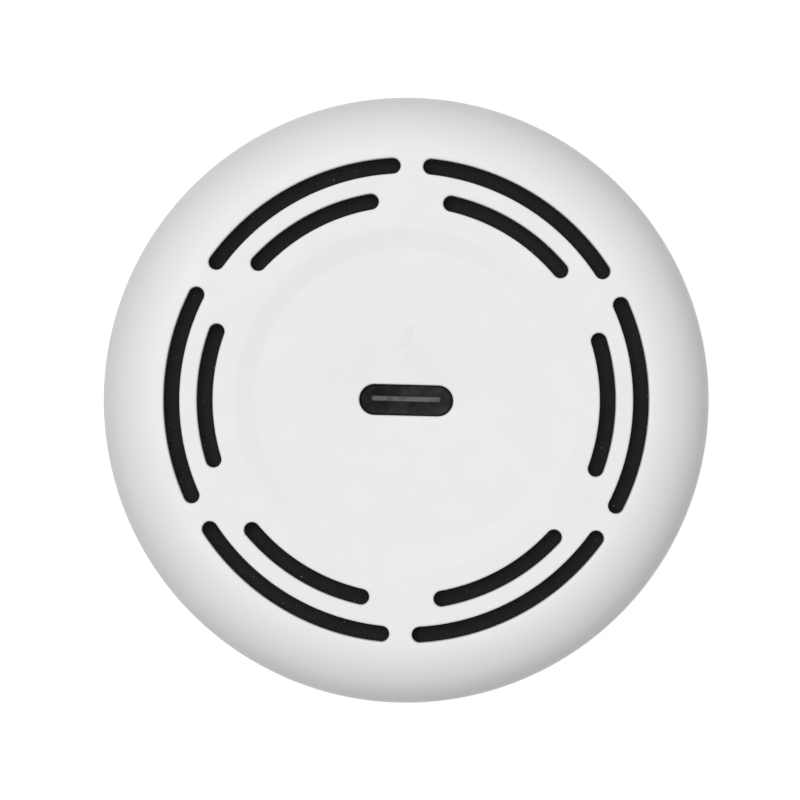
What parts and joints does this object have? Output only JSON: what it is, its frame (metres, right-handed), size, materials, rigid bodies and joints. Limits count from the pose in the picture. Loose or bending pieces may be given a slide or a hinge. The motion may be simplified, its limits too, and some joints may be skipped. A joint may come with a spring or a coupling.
{
  "type": "handheld vacuum cleaner",
  "caption": "Slim cylindrical cordless hand vacuum: open nose, smoked dust cup with pleated filter, white barrel with a power button, rounded end cap with exhaust slots and a charging port.",
  "frame": {"origin": "centre of the mouth rim, on the plane the rim stands on", "axes": "+Z along the cylinder from the mouth to the end cap; the power button faces -Y; the long side of the charging port lies along X"},
  "size_m": [0.055, 0.055, 0.267],
  "materials": {
    "white_plastic": "satin, fine texture",
    "button_plastic": "satin",
    "smoked_clear": "clear, smoked",
    "light_pipe": "frosted",
    "dark_plastic": "moulded, matt",
    "black_rubber": "matt",
    "steel": "bright",
    "nickel": "bright strip",
    "filter_cloth": "pleated, non-woven",
    "mesh_cloth": "fine black weave",
    "cast_alloy": "machined",
    "copper": "enamelled wire",
    "magnet": "plated",
    "cell_wrap": "shrink-wrapped",
    "circuit_board": "solder mask",
    "chip_black": "moulded",
    "tongue_grey": "moulded",
    "plunger_plastic": "moulded",
    "capacitor_can": "can",
    "light_chip": "clear",
    "lead_red": "insulated wire",
    "lead_black": "insulated wire"
  },
  "bodies": {
    "cup": {"nose_shell": "white_plastic", "nose_gasket": "black_rubber", "dust_cup": "smoked_clear", "cup_seal": "black_rubber", "inlet_duct": "dark_plastic", "flap_pin": "steel"},
    "flap": {"inlet_flap": "black_rubber"},
    "filter": {"filter_frame": "dark_plastic", "filter_seal": "black_rubber", "filter_screen": "steel", "filter_media": "filter_cloth"},
    "rotor": {"impeller": "cast_alloy", "rotor_magnet": "magnet", "rotor_shaft": "steel"},
    "button": {"power_button": "button_plastic", "switch_plunger": "plunger_plastic"},
    "barrel": {"barrel_shell": "white_plastic", "battery_cell_1": "cell_wrap", "battery_cell_2": "cell_wrap", "battery_cell_3": "cell_wrap", "battery_leads": "lead_red", "board_screws": "steel", "capacitor": "capacitor_can", "charge_board": "circuit_board", "charge_leads": "lead_red", "charge_screws": "steel", "chassis": "dark_plastic", "diffuser": "dark_plastic", "end_cap": "white_plastic", "exhaust_mesh": "mesh_cloth", "fan_shroud": "dark_plastic", "front_bearing": "steel", "front_holder": "dark_plastic", "front_isolator": "black_rubber", "front_links": "nickel", "light_ring": "light_pipe", "main_board": "circuit_board", "mesh_retainer": "dark_plastic", "motor_board": "circuit_board", "motor_board_screws": "steel", "motor_can": "cast_alloy", "motor_leads": "lead_black", "motor_plate": "dark_plastic", "plate_screws": "steel", "power_transistors": "chip_black", "rear_bearing": "steel", "rear_holder": "dark_plastic", "rear_isolator": "black_rubber", "rear_links": "nickel", "stator_coils": "copper", "stator_core": "steel", "status_lights": "light_chip", "tact_switch": "chip_black", "usb_shell": "steel", "usb_tongue": "tongue_grey"}
  },
  "joints": [
    {"name": "filter_lift", "type": "slide", "parent": "cup", "child": "filter", "axis": [0, 0, 1], "range_m": [0, 0.06]},
    {"name": "barrel_lift", "type": "slide", "parent": "filter", "child": "barrel", "axis": [0, 0, 1], "range_m": [0, 0.03]},
    {"name": "rotor_spin", "type": "hinge", "parent": "barrel", "child": "rotor", "pos_m": [0, 0, 0.14], "axis": [0, 0, 1], "continuous": true},
    {"name": "button_press", "type": "slide", "parent": "barrel", "child": "button", "axis": [0, 1, 0], "range_m": [0, 0.0004], "stiffness_N_per_m": 2000, "springref_m": -0.001},
    {"name": "flap_swing", "type": "hinge", "parent": "cup", "child": "flap", "pos_m": [0, 0.0148, 0.03685], "axis": [-1, 0, 0], "range_deg": [0, 45]}
  ]
}
